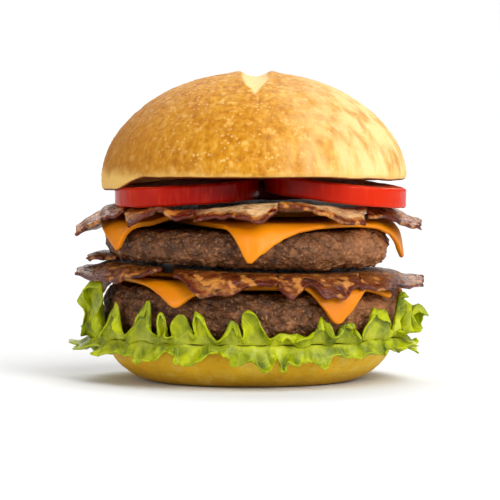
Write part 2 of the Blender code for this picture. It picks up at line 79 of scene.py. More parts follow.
# A leaf is flat up to this share of its length and radius, and its noise is read further out.
LEAF_FLAT_SHARE = 0.2
LEAF_RIM_RADIUS = 51.6
FRILL_RADIUS = 60.0


@dataclass
class Disc:
    """A round slab with rounded rims: a patty or a slice of tomato.

    Its two faces rise along X by the slopes below and above.
    """

    name: str
    x: float
    y: float
    radius: float
    bottom: float
    top: float
    upper_round: float
    lower_round: float
    slope_below: float = 0.0
    slope_above: float = 0.0


@dataclass
class Slice:
    """A slice of cheese: each side is (the azimuth that it faces, distance from the axis)."""

    name: str
    sides: tuple


@dataclass
class Strip:
    """A strip of bacon from the front to the back; the tuples run from its left to its right."""

    name: str
    left: float
    right: float
    front: tuple
    back: tuple
    front_fall_deg: tuple
    back_fall_deg: tuple
    arch: tuple = (0.0, 0.0)
    arch_from: float = 36.0
    lift: float = 0.0


@dataclass
class Leaf:
    """A lettuce leaf and the tips (azimuth, height, radius) along its frilled edge.

    Between two tips the edge is at the height given by between. The sides of a tip overhang,
    tips lean to one side, their edge flops down again, and the sheet swells beside the stack.
    """

    name: str
    height: float
    tips: tuple
    between: float
    overhang: float
    lean: float
    flop: float
    swell: float


PATTY_LOWER = Disc("patty_lower", 0.2, 0.0, 53.0, PATTY_LOWER_BOTTOM, PATTY_LOWER_TOP,
                   6.5, 5.5, 0.0, PATTY_SLOPE)
PATTY_UPPER = Disc("patty_upper", -0.9, 0.0, 51.0, PATTY_UPPER_BOTTOM, PATTY_UPPER_TOP,
                   5.5, 8.0, PATTY_SLOPE, 0.0)


def tomato_slice(name, x, y, radius, rise, slope):
    bottom = TOMATO_BED + rise
    return Disc(name, x, y, radius, bottom, bottom + TOMATO_THICKNESS, 1.2, 1.2, slope, slope)


TOMATOES = (
    tomato_slice("tomato_left", -21.9, -15.0, 25.7, 0.8, 0.06),
    tomato_slice("tomato_right", 29.5, -14.0, 25.2, 1.6, -0.12),
    tomato_slice("tomato_back", 2.0, 25.0, 21.2, 0.3, 0.0),
)

CHEESE_LOWER = (
    Slice("cheese_lower_under", ((203.0, 47.4), (291.0, 40.4), (21.0, 39.0), (111.0, 38.0))),
    Slice("cheese_lower_over", ((244.4, 35.2), (342.7, 49.4), (72.0, 36.0), (155.0, 42.0))),
)
CHEESE_UPPER = (
    Slice("cheese_upper_under", ((204.0, 26.2), (312.0, 48.2), (42.0, 44.8), (132.0, 40.0))),
    Slice("cheese_upper_over", ((182.0, 52.0), (287.0, 17.5), (10.0, 40.0), (97.0, 38.0))),
)

BACON_LOWER = (
    Strip("bacon_lower_left", -61.0, -31.0, (-6.0, -24.0, -35.0, -38.0, -39.0),
          (12.0, 33.0, 42.0, 46.0), (13.0, 40.0, 56.0, 50.0, 35.0), (12.0, 25.0, 40.0)),
    Strip("bacon_lower_scrap", -56.5, -44.0, (-6.0, -9.0, -12.0), (20.0, 26.0, 28.0),
          (6.0, 6.0, 6.0), (6.0, 6.0, 6.0), lift=2.3),
    Strip("bacon_lower_front", -26.5, 8.6, (-44.0, -59.3, -59.3, -55.3, -54.3),
          (50.0, 58.0, 60.0, 57.0), (40.0, 72.0, 68.0, 50.0, 40.0), (40.0, 15.0, 50.0, 30.0)),
    Strip("bacon_lower_middle", 9.6, 37.4, (-54.5, -59.0, -51.0, -55.0, -51.0, -42.0),
          (59.0, 56.0, 50.0, 48.0), (50.0, 70.0, 35.0, 68.0, 66.0, 50.0), (25.0, 55.0, 20.0)),
    Strip("bacon_lower_right", 38.4, 60.5, (-41.0, -36.0, -24.0, -9.0),
          (44.0, 36.0, 24.0, 9.0), (40.0, 30.0, 24.0, 18.0), (35.0, 20.0, 12.0)),
)
BACON_UPPER = (
    Strip("bacon_upper_far_left", -61.5, -43.2, (-12.0, -20.0, -27.0),
          (31.0, 34.0, 30.0), (40.0, 40.0, 40.0), (30.0, 40.0, 45.0)),
    Strip("bacon_upper_left", -42.0, -18.9, (-38.0, -40.0, -42.0, -48.0, -48.0),
          (36.0, 45.0, 51.0), (75.0, 60.0, 12.0, 45.0, 35.0), (20.0, 60.0, 25.0),
          (0.0, 0.5, 3.0, 0.5, 0.0), 44.0),
    Strip("bacon_upper_front", -17.8, 10.0, (-48.5, -52.5, -55.0, -57.5, -53.0),
          (52.0, 57.0, 55.0), (25.0, 40.0, 55.0, 60.0, 40.0), (45.0, 20.0, 50.0),
          (0.0, 1.5, 2.8, 2.8)),
    Strip("bacon_upper_middle", 11.2, 40.6, (-50.0, -49.0, -46.5, -45.0, -39.5),
          (54.0, 50.0, 42.0), (20.0, 20.0, 25.0, 60.0, 80.0), (30.0, 15.0, 40.0),
          (4.2, 3.4, 2.0, 0.6, 0.0), 38.0),
    Strip("bacon_upper_far_right", 41.8, 62.0, (-30.0, -22.0, -12.0),
          (33.0, 30.0, 20.0), (34.0, 34.0, 34.0), (40.0, 30.0, 25.0)),
)

CURLS_IN_FRONT = (
    (167.0, 28.0, 61.0), (181.0, 32.0, 62.5), (195.0, 35.5, 60.5), (211.0, 28.0, 59.5),
    (226.5, 29.5, 58.0), (236.5, 24.5, 58.0), (245.0, 26.0, 58.5), (252.5, 26.5, 58.5),
    (263.5, 24.5, 59.0), (273.5, 27.5, 58.5), (282.5, 20.0, 58.5), (294.0, 24.5, 60.0),
    (306.0, 22.5, 59.0), (321.5, 27.0, 60.0), (338.0, 31.0, 61.5), (353.0, 27.0, 64.5),
    (368.0, 25.0, 62.0),
)
TEETH_IN_FRONT = (
    (170.0, 13.0, 62.5), (183.0, 13.5, 66.0), (196.0, 12.5, 60.5), (212.0, 13.0, 59.0),
    (228.0, 8.6, 58.5), (240.0, 12.5, 58.5), (247.0, 8.2, 58.5), (257.0, 13.0, 58.5),
    (266.5, 9.4, 59.0), (274.5, 8.0, 59.0), (281.5, 8.2, 59.0), (288.5, 8.5, 59.0),
    (297.0, 9.0, 59.5), (306.0, 11.5, 59.5), (315.0, 10.5, 59.5), (331.0, 12.5, 60.5),
    (346.0, 13.0, 61.5), (361.0, 13.0, 62.0),
)
CURLS_BEHIND = 12
TEETH_BEHIND = 14


# Shape functions.

def smooth_step(low, high, value):
    share = min(max((value - low) / (high - low), 0.0), 1.0)
    return share * share * (3.0 - 2.0 * share)


def value_along(values, share):
    """The value at a share of the way through equally spaced values, with eased steps."""
    place = min(max(share, 0.0), 1.0) * (len(values) - 1)
    first = min(int(place), len(values) - 2)
    ease = smooth_step(0.0, 1.0, place - first)
    return values[first] * (1.0 - ease) + values[first + 1] * ease


def lumps(x, y, z, size, seed):
    """Smooth noise from -1 to 1 with lumps about the given size."""
    return noise.noise(Vector((x / size + seed, y / size, z / size)))


def grains(place, size, seed):
    """0 in the middle of each grain of about the given size, and 1 between grains."""
    distances, _ = noise.voronoi(place / size + Vector((seed, 0.0, 0.0)))
    return min(distances[0] / 0.75, 1.0)


def tips_all_round(in_front, count_behind, height, seed):
    """The given tips, and more behind them that fill the circle unevenly."""
    start, end = in_front[-1][0], in_front[0][0] + 360.0
    step = (end - start) / (count_behind + 1)
    uneven_step, uneven_height, uneven_radius = 0.22, 3.0, 3.5
    tips = list(in_front)
    for index in range(count_behind):
        stray = uneven_step * lumps(index, 0.0, 0.0, 1.7, seed)
        azimuth_deg = start + step * (index + 1 + stray)
        tip_height = height + uneven_height * lumps(index, 5.0, 0.0, 1.3, seed)
        radius = FRILL_RADIUS + uneven_radius * lumps(index, 9.0, 0.0, 1.9, seed)
        tips.append((azimuth_deg, tip_height, radius))
    return tuple(tips)


LEAF_OVER = Leaf("lettuce_over", LEAF_OVER_HEIGHT,
                 tips_all_round(CURLS_IN_FRONT, CURLS_BEHIND, 23.5, 2.4),
                 between=17.4, overhang=0.4, lean=7.5, flop=4.0, swell=-0.9)
LEAF_UNDER = Leaf("lettuce_under", LEAF_UNDER_HEIGHT,
                  tips_all_round(TEETH_IN_FRONT, TEETH_BEHIND, 9.0, 6.8),
                  between=11.0, overhang=0.2, lean=2.0, flop=0.0, swell=0.8)


def disc_section(disc, fall):
    """(radius, height, outward, upward) on a disc's skin, from its top centre at fall 0."""
    face_share = 0.14
    if fall <= face_share:
        return (disc.radius - disc.upper_round) * fall / face_share, disc.top, 0.0, 1.0
    if fall >= 1.0 - face_share:
        inward = (1.0 - fall) / face_share
        return (disc.radius - disc.lower_round) * inward, disc.bottom, 0.0, -1.0
    upper = disc.upper_round * math.pi / 2.0
    lower = disc.lower_round * math.pi / 2.0
    side = disc.top - disc.bottom - disc.upper_round - disc.lower_round
    along = (fall - face_share) / (1.0 - 2.0 * face_share) * (upper + side + lower)
    if along < upper:
        turn = along / disc.upper_round
        radius = disc.radius - disc.upper_round * (1.0 - math.sin(turn))
        height = disc.top - disc.upper_round * (1.0 - math.cos(turn))
        return radius, height, math.sin(turn), math.cos(turn)
    if along < upper + side:
        return disc.radius, disc.top - disc.upper_round - (along - upper), 1.0, 0.0
    turn = (along - upper - side) / disc.lower_round
    radius = disc.radius - disc.lower_round * (1.0 - math.cos(turn))
    height = disc.bottom + disc.lower_round * (1.0 - math.sin(turn))
    return radius, height, math.cos(turn), -math.sin(turn)


def face_slope(disc, x, height):
    share = (height - disc.bottom) / (disc.top - disc.bottom)
    return x * (disc.slope_below * (1.0 - share) + disc.slope_above * share)


def patty_point(disc, azimuth, fall):
    """Minced beef: the disc's envelope with crags, grains and cracks cut into it."""
    radius, height, outward, upward = disc_section(disc, fall)
    x = radius * math.cos(azimuth)
    y = radius * math.sin(azimuth)
    coarse_grain, fine_grain, crack_depth, shoulder = 1.1, 0.45, 0.8, 1.2
    crag = 1.1 + 0.5 * lumps(x, y, height, 7.0, disc.bottom)
    crag += 0.35 * lumps(x, y, height, 3.2, disc.top)
    crag = max(crag, 0.85) + shoulder * outward * max(upward, 0.0) - 0.45
    place = Vector((x, y, height))
    patchy = 0.6 + 0.6 * lumps(x, y, height, 9.0, 8.0)
    crag += coarse_grain * grains(place, 3.4, disc.top) * patchy
    crag += fine_grain * grains(place, 1.5, disc.bottom)
    crack = abs(lumps(x, y, height, 9.0, disc.top + 4.0))
    crag += crack_depth * smooth_step(0.1, 0.0, crack)
    radius -= outward * crag
    height -= upward * (crag - 0.5)
    x = radius * math.cos(azimuth)
    y = radius * math.sin(azimuth)
    return Vector((disc.x + x, disc.y + y, height + face_slope(disc, x, height)))


def tomato_point(disc, azimuth, fall):
    """A tomato slice: slightly lobed skin, and faces that bulge over the seed chambers."""
    section_radius, height, outward, upward = disc_section(disc, fall)
    lobes, lobe_depth = 5.0, 0.25
    dent = lobe_depth + lobe_depth * math.sin(lobes * azimuth + disc.x)
    radius = section_radius * (1.0 - dent / disc.radius)
    x = radius * math.cos(azimuth)
    y = radius * math.sin(azimuth)
    height -= 0.25 * upward * (1.0 + lumps(x, y, disc.x, 5.0, 2.0))
    radius -= 0.12 * outward * (1.0 + lumps(x, y, height, 4.0, disc.x))
    x = radius * math.cos(azimuth)
    y = radius * math.sin(azimuth)
    return Vector((disc.x + x, disc.y + y, height + face_slope(disc, x, height)))


def bun_bottom_point(azimuth, fall):
    """The bottom bun: cut face, short edge, swelling side and flat foot."""
    cut_share, side_share, edge = 0.26, 0.78, 1.4
    swell = BUN_BOTTOM_RADIUS - BUN_FOOT_RADIUS
    side_power, relief_from = 2.0 / 1.7, 44.0
    if fall <= cut_share:
        radius = (BUN_BOTTOM_RADIUS - edge) * fall / cut_share
        height = BUN_BOTTOM_HEIGHT
    elif fall <= side_share:
        turn = (side_share - fall) / (side_share - cut_share) * math.pi / 2.0
        radius = BUN_FOOT_RADIUS + swell * math.sin(turn) ** side_power
        height = (BUN_BOTTOM_HEIGHT - edge) * (1.0 - math.cos(turn) ** side_power)
    else:
        radius = BUN_FOOT_RADIUS * (1.0 - fall) / (1.0 - side_share)
        height = 0.0
    x = radius * math.cos(azimuth)
    y = radius * math.sin(azimuth)
    on_side = smooth_step(0.0, 4.0, height) * smooth_step(BUN_FOOT_RADIUS, relief_from, radius)
    radius += 0.7 * on_side * lumps(x, y, 0.0, 22.0, 3.1)
    radius -= 0.25 * on_side * (1.0 + lumps(x, y, height, 2.6, 4.4))
    return Vector((radius * math.cos(azimuth), radius * math.sin(azimuth), height))


def bun_top_roof(x, y):
    """Height of the top bun's cut face, whose rim droops over the filling."""
    droop_round = (5.8, 7.5, 8.5, 8.5, 8.5, 9.5, 10.5, 10.5, 10.5, 9.5, 3.0, 2.4, 2.3, 2.3,
                   3.6, 5.2, 5.8)
    droops_from = 47.5
    turn = math.atan2(y, x) / (2.0 * math.pi) % 1.0
    droop = value_along(droop_round, turn)
    return BUN_TOP_ROOF - droop * smooth_step(droops_from, BUN_TOP_RADIUS, math.hypot(x, y))


def score_depth(x, y):
    """Depth of the baker's cut along the crown, a lens that opens in the middle."""
    centre_x, half_length, half_width, deepest = 0.3, 27.0, 5.0, 1.8
    lip_height, lip_at, lip_width = 0.4, 1.25, 0.3
    run = 1.0 - (y / half_length) ** 2
    if run <= 0.0:
        return 0.0
    across = (x - centre_x) / (half_width * math.sqrt(run))
    lip = lip_height * math.exp(-((abs(across) - lip_at) / lip_width) ** 2) * run
    return deepest * run * max(0.0, 1.0 - across * across) - lip


def crust_relief(place):
    """How deep the wrinkles and blisters of a baked crust go at a place."""
    x, y, z = place
    wrinkle_depth, blister_height, pore_depth = 0.16, 0.14, 0.1
    patchy = 1.0 + lumps(x, y, z, 15.0, 7.0)
    wrinkle = wrinkle_depth * (1.0 + lumps(x, y, z, 3.4, 1.3)) * patchy
    blister = blister_height * (1.0 - smooth_step(0.25, 0.6, grains(place, 1.7, 9.0)))
    pores = pore_depth * (1.0 + lumps(x, y, z, 0.9, 2.2))
    return wrinkle + pores - blister + blister_height


def bun_top_point(azimuth, fall):
    """A point of the top bun: domed crust, rounded rim and cut face."""
    crust_share, rim_share, edge, crowd_to_rim = 0.68, 0.78, 1.9, 1.6
    swelling, torn_depth = 0.7, 0.35
    along = Vector((math.cos(azimuth), math.sin(azimuth), 0.0))
    near_rim = along * (BUN_TOP_RADIUS - edge)
    rim_height = bun_top_roof(near_rim.x, near_rim.y) + edge
    last_turn = math.acos((rim_height - BUN_TOP_WIDEST_AT) / BUN_TOP_DOME)
    rim_radius = BUN_TOP_RADIUS * math.sin(last_turn)
    if fall <= crust_share:
        turn = last_turn * fall / crust_share
        place = along * (BUN_TOP_RADIUS * math.sin(turn))
        place.z = BUN_TOP_WIDEST_AT + BUN_TOP_DOME * math.cos(turn)
        outward = along * math.sin(turn) + Vector((0.0, 0.0, math.cos(turn)))
        swell = swelling * lumps(place.x, place.y, place.z, 26.0, 5.7) * math.sin(turn)
        relief = crust_relief(place)
        cut = score_depth(place.x, place.y)
        torn = torn_depth * smooth_step(0.2, 1.0, cut) * lumps(place.x, place.y, 0.0, 1.1, 3.0)
        place.z -= (cut + torn) * math.cos(turn)
        place += along * swell - outward * relief
    elif fall <= rim_share:
        turn = (fall - crust_share) / (rim_share - crust_share) * math.pi / 2.0
        place = along * (rim_radius - edge * (1.0 - math.cos(turn)))
        place.z = rim_height - edge * math.sin(turn)
        place -= along * crust_relief(place) * math.cos(turn)
    else:
        inward = (fall - rim_share) / (1.0 - rim_share)
        place = along * ((rim_radius - edge) * (1.0 - inward**crowd_to_rim))
        place.z = bun_top_roof(place.x, place.y)
    place.x += BUN_TOP_X
    return place


def over_rim(disc, x, y, lift, steepest, from_middle=0.0):
    """Folds the point (x, y) of a flat sheet over a disc's rim.

    The sheet's middle lies lift above the disc's skin, and the point from_middle above that.
    """
    reach = math.hypot(x, y)
    flat = disc.radius - disc.upper_round
    bend = disc.upper_round + lift
    level = disc.top - disc.upper_round
    if reach <= flat:
        height = level + bend + from_middle
        return Vector((disc.x + x, disc.y + y, height + disc.slope_above * x))
    turn = min((reach - flat) / bend, steepest)
    hang = reach - flat - bend * turn
    bend += from_middle
    radius = flat + bend * math.sin(turn) + hang * math.cos(steepest)
    x *= radius / reach
    y *= radius / reach
    height = level + bend * math.cos(turn) - hang * math.sin(steepest)
    return Vector((disc.x + x, disc.y + y, height + disc.slope_above * x))


def slice_edge(piece, azimuth):
    """Distance from the axis to a slice's edge: straight sides with slightly soft corners."""
    corner_power = 26.0
    closeness = 0.0
    for faces_deg, distance in piece.sides:
        towards = math.cos(azimuth - math.radians(faces_deg))
        closeness += (max(towards, 0.0) / distance) ** corner_power
    return closeness ** (-1.0 / corner_power)


def slice_corner(first_side, second_side):
    """(x, y) where two sides of a slice meet."""
    first = math.radians(first_side[0])
    second = math.radians(second_side[0])
    size = math.sin(second - first)
    x = (first_side[1] * math.sin(second) - second_side[1] * math.sin(first)) / size
    y = (second_side[1] * math.cos(first) - first_side[1] * math.cos(second)) / size
    return x, y


def round_the_edge(piece, turn):
    """Azimuth at a share of the way round a slice, in equal steps along each side."""
    side = min(int(turn * 4.0), 3)
    share = turn * 4.0 - side
    sides = piece.sides
    start = slice_corner(sides[side], sides[(side + 1) % 4])
    end = slice_corner(sides[(side + 1) % 4], sides[(side + 2) % 4])
    return math.atan2(start[1] + (end[1] - start[1]) * share,
                      start[0] + (end[0] - start[0]) * share)


def cheese_point(patty, piece, under, azimuth, fall):
    """A point of a slice's skin, with a softly rounded edge and a slight sag where it hangs."""
    steepest = math.radians(80.0)
    face_share, edge_share, crowd_to_edge = 0.45, 0.1, 0.6
    sag, drop_from, drop_to = 0.35, 18.0, 8.0
    half = CHEESE_THICKNESS / 2.0
    azimuth = round_the_edge(piece, azimuth / (2.0 * math.pi) % 1.0)
    edge = slice_edge(piece, azimuth) - half
    bend_from = patty.radius - patty.upper_round
    bend_to = bend_from + (patty.upper_round + CHEESE_LIFT) * steepest
    if fall <= face_share:
        reach = edge * (fall / face_share) ** crowd_to_edge
        from_middle = half
    elif fall >= 1.0 - face_share:
        reach = edge * ((1.0 - fall) / face_share) ** crowd_to_edge
        from_middle = -half
    else:
        turn = (0.5 - fall) / edge_share * math.pi
        reach = edge + half * math.cos(turn)
        from_middle = half * math.sin(turn)
    lift = CHEESE_LIFT + 0.5 * smooth_step(bend_from - 2.0, bend_to, reach)
    if under is not None:
        past = reach - slice_edge(under, azimuth)
        lift += (CHEESE_OVER_LIFT - CHEESE_LIFT) * smooth_step(drop_from, drop_to, past)
    hanging = smooth_step(bend_from, bend_to + 4.0, reach)
    x = reach * math.cos(azimuth)
    y = reach * math.sin(azimuth)
    lift += sag * hanging * (1.0 + lumps(x, y, 0.0, 13.0, edge))
    return over_rim(patty, x, y, lift, steepest, from_middle)


def bacon_point(patty, strip, u, v):
    """A point of a strip's middle surface; v runs from its front end to its back end.

    The strip's sides wander, its ends are ragged, and where it is free of the patty it is
    rippled and its edge curls as fried bacon does.
    """
    end_share, middle_share, bends_early, bends_late = 0.4, 0.2, 0.25, 0.9
    ragged_depth, side_wander, edge_curl, end_push = 1.5, 1.3, 0.7, 0.8
    seed = strip.left
    outside_share = abs(2.0 * v - 1.0)
    across = 2.0 * u - 1.0
    x = strip.left + (strip.right - strip.left) * u
    ragged = smooth_step(0.6, 1.0, outside_share) * ragged_depth
    front = value_along(strip.front, u) + ragged * lumps(u * 8.0, seed, 0.0, 1.0, 3.0)
    back = value_along(strip.back, u) + ragged * lumps(u * 8.0, seed, 7.0, 1.0, 3.0)
    bend_from = patty.radius - patty.upper_round
    half_flat = math.sqrt(max(bend_from * bend_from - x * x, 0.0))
    front_bend = -min(max(half_flat, -bends_early * front), -bends_late * front)
    back_bend = min(max(half_flat, bends_early * back), bends_late * back)
    if v <= end_share:
        y = front + (front_bend - front) * v / end_share
    elif v <= 1.0 - end_share:
        y = front_bend + (back_bend - front_bend) * (v - end_share) / middle_share
    else:
        y = back_bend + (back - back_bend) * (v - (1.0 - end_share)) / end_share
    x += side_wander * across * (0.5 + lumps(y, seed, 0.0, 6.0, 11.0 * across))
    behind = smooth_step(-12.0, 12.0, y)
    fall_deg = value_along(strip.front_fall_deg, u) * (1.0 - behind)
    fall_deg += value_along(strip.back_fall_deg, u) * behind
    place = over_rim(patty, x, y, BACON_LIFT + strip.lift, math.radians(fall_deg))
    reach = math.hypot(x, y)
    bump = smooth_step(strip.arch_from, strip.arch_from + 12.0, reach) * (1.0 - behind)
    place.z += value_along(strip.arch, u) * bump
    free = smooth_step(bend_from - 3.0, bend_from + 6.0, reach)
    place.z += free * (0.8 * lumps(x, y, seed, 5.0, 1.0) + 0.35 * lumps(x, y, seed, 2.0, 5.0))
    place.z += free * edge_curl * across * smooth_step(0.5, 1.0, abs(across))
    away = Vector((x, y, 0.0)).normalized()
    place += away * free * 0.9 * lumps(x, seed, place.z, 3.6, 9.0)
    place += away * end_push * smooth_step(0.86, 1.0, outside_share) * free
    return place


def leaf_edge(leaf, turn):
    """(azimuth, height, radius) of a leaf's edge, and the share of the way from tip to tip."""
    place = turn * len(leaf.tips)
    first = int(place) % len(leaf.tips)
    share = place % 1.0
    azimuth_deg, height, radius = leaf.tips[first]
    next_azimuth_deg, next_height, next_radius = leaf.tips[(first + 1) % len(leaf.tips)]
    azimuth_deg += ((next_azimuth_deg - azimuth_deg) % 360.0) * share
    ease = smooth_step(0.2, 0.8, share)
    height += (next_height - height) * ease
    radius += (next_radius - radius) * ease
    return math.radians(azimuth_deg), height, radius, share


def leaf_point(leaf, turn, out):
    """A point of a leaf's middle surface: flat inside the stack, frilled outside it.

    Finer waves of several sizes ride on the frill, and the edge is cut into small teeth.
    """
    full_height_at, flops_from, wave_size = 0.75, 0.55, 12.0
    deep_tooth, fine_tooth, notch_middle = 0.34, 0.16, 0.3
    ruffles_round, ruffle_drift, ruffle_depth = 62.0, 9.0, 1.7
    azimuth, height, edge_radius, share = leaf_edge(leaf, turn)
    if out <= LEAF_FLAT_SHARE:
        reach = LEAF_RIM_RADIUS * out / LEAF_FLAT_SHARE
        return Vector((reach * math.cos(azimuth), reach * math.sin(azimuth), leaf.height))
    x = FRILL_RADIUS * math.cos(azimuth)
    y = FRILL_RADIUS * math.sin(azimuth)
    outside = (out - LEAF_FLAT_SHARE) / (1.0 - LEAF_FLAT_SHARE)
    tooth = deep_tooth * abs(lumps(x, y, leaf.height, 3.2, 1.0))
    tooth += fine_tooth * abs(lumps(x, y, leaf.height, 1.4, 6.0))
    outside *= 1.0 - tooth
    grow = smooth_step(0.0, full_height_at, outside)
    frill = outside * outside

    # In and out.
    ruffle = math.sin(ruffles_round * azimuth + ruffle_drift * lumps(x, y, 3.0, 9.0, 21.0))
    reach = LEAF_RIM_RADIUS + (edge_radius - LEAF_RIM_RADIUS) * outside
    reach += frill * 3.0 * (lumps(x, y, outside * 5.0, 6.0, 5.0) - 0.4)
    reach += frill * 1.2 * (lumps(x, y, outside * 4.0, 2.8, 15.0) - 0.4)
    reach += frill * ruffle_depth * (ruffle - 0.7)

    # Sideways.
    sideways = leaf.lean * lumps(x, y, 9.0, wave_size, leaf.height)
    sideways += leaf.overhang * math.sin(4.0 * math.pi * share)
    sideways += frill * 6.0 * lumps(x, y, outside * 6.0, 6.5, 2.0)
    sideways += frill * 1.6 * lumps(x, y, outside * 4.0, 2.6, 12.0)
    azimuth += (sideways * grow) / reach

    # Up and down.
    near_tip = 0.5 + 0.5 * math.cos(2.0 * math.pi * share)
    near_tip **= 0.75 + 0.5 * lumps(x, y, 4.0, wave_size, leaf.height)
    between = leaf.between + 2.4 * lumps(x, y, 0.0, wave_size, leaf.height)
    flop = leaf.flop * (1.0 + 1.4 * lumps(x, y, 14.0, wave_size, leaf.height))
    edge_height = between + (height + 0.3 * flop - between) * near_tip
    z = leaf.height + (edge_height - leaf.height) * grow
    z -= flop * near_tip * smooth_step(flops_from, 1.0, outside)
    z += frill * 3.6 * lumps(x, y, outside * 4.0, 5.2, 8.0)
    z += frill * 1.0 * lumps(x, y, outside * 3.0, 2.0, 3.0)
    notch = abs(lumps(x, y, 17.0, 4.4, leaf.height))
    z += leaf.flop * near_tip * grow * (notch_middle - notch)
    crumple = math.sin(math.pi * min(outside / 0.6, 1.0))
    z += crumple * (leaf.swell + 2.0 * lumps(x, y, outside * 6.0, 5.0, 30.0 - leaf.height))
    return Vector((reach * math.cos(azimuth), reach * math.sin(azimuth), z))


# Making pieces.

def finished_piece(name, shape, material, slot, *nodes):
    """Turns a finished bmesh, in millimetres, into a piece that stands for CAD nodes."""
    bmesh.ops.scale(shape, vec=(MM, MM, MM), verts=shape.verts)
    mesh = bpy.data.meshes.new(name)
    shape.to_mesh(mesh)
    shape.free()
    mesh.materials.append(material)
    mesh.shade_smooth()
    made = bpy.data.objects.new(name, mesh)
    bpy.context.scene.collection.objects.link(made)
    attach(made, "root")
    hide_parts(*nodes)
    return made


def turned_body(name, fineness, place, material, slot):
    """A UV sphere whose points move to place(azimuth, fall); fall is 0 at the top pole."""
    shape = bmesh.new()
    bmesh.ops.create_uvsphere(shape, u_segments=fineness[0], v_segments=fineness[1], radius=1.0)
    for vertex in shape.verts:
        azimuth = math.atan2(vertex.co.y, vertex.co.x)
        fall = math.acos(min(max(vertex.co.z, -1.0), 1.0)) / math.pi
        vertex.co = place(azimuth, fall)
    return finished_piece(name + "_look", shape, material, slot, name)


def thicken(made, thickness):
    """Gives a sheet its thickness, half to each side."""
    solid = made.modifiers.new("thickness", "SOLIDIFY")
    solid.thickness = thickness * MM
    solid.offset = 0.0


def sheet_from_grid(name, fineness, place, thickness, material, slot):
    """A sheet with four sides; its UV map holds u across it, and centimetres from an end."""
    shape = bmesh.new()
    bmesh.ops.create_grid(shape, x_segments=fineness[0], y_segments=fineness[1], size=1.0)
    uv_layer = shape.loops.layers.uv.new("strip")
    across = {}
    columns = {}
    for vertex in shape.verts:
        u = (vertex.co.x + 1.0) / 2.0
        v = (vertex.co.y + 1.0) / 2.0
        vertex.co = place(u, v)
        across[vertex.index] = u
        columns.setdefault(round(u, 4), []).append((v, vertex.co.copy(), vertex.index))
    from_end = {}
    for column in columns.values():
        column.sort(key=lambda row: row[0])
        run = 0.0
        length = sum((b[1] - a[1]).length for a, b in zip(column, column[1:]))
        previous = column[0][1]
        for _, point, index in column:
            run += (point - previous).length
            previous = point
            from_end[index] = min(run, length - run)
    for face in shape.faces:
        for loop in face.loops:
            index = loop.vert.index
            loop[uv_layer].uv = (across[index], from_end[index] / 10.0)
    made = finished_piece(name + "_look", shape, material, slot, name)
    thicken(made, thickness)
    rounding = made.modifiers.new("rounding", "SUBSURF")
    rounding.levels = 1
    rounding.render_levels = 1
    return made


def leaf_sheet(leaf, material):
    """The upper half of a UV sphere, laid out flat and then frilled."""
    shape = bmesh.new()
    columns = LEAF_COLUMNS_PER_TIP * len(leaf.tips)
    bmesh.ops.create_uvsphere(shape, u_segments=columns, v_segments=2 * LEAF_RINGS, radius=1.0)
    lower_half = [vertex for vertex in shape.verts if vertex.co.z < -0.001]
    bmesh.ops.delete(shape, geom=lower_half, context="VERTS")
    outs = shape.verts.layers.float.new("out")
    for vertex in shape.verts:
        turn = math.atan2(vertex.co.y, vertex.co.x) / (2.0 * math.pi) % 1.0
        out = math.acos(min(max(vertex.co.z, 0.0), 1.0)) / (math.pi / 2.0)
        vertex.co = leaf_point(leaf, turn, out)
        vertex[outs] = out
    made = finished_piece(leaf.name + "_look", shape, material, "leaf_green", leaf.name)
    thicken(made, LEAF_LOOK_THICKNESS)
    return made


# Materials.

def paint(red, green, blue):
    """A linear colour from the eight-bit values of a picture."""
    def linear(value):
        value /= 255.0
        return value / 12.92 if value <= 0.04045 else ((value + 0.055) / 1.055) ** 2.4
    return (linear(red), linear(green), linear(blue), 1.0)


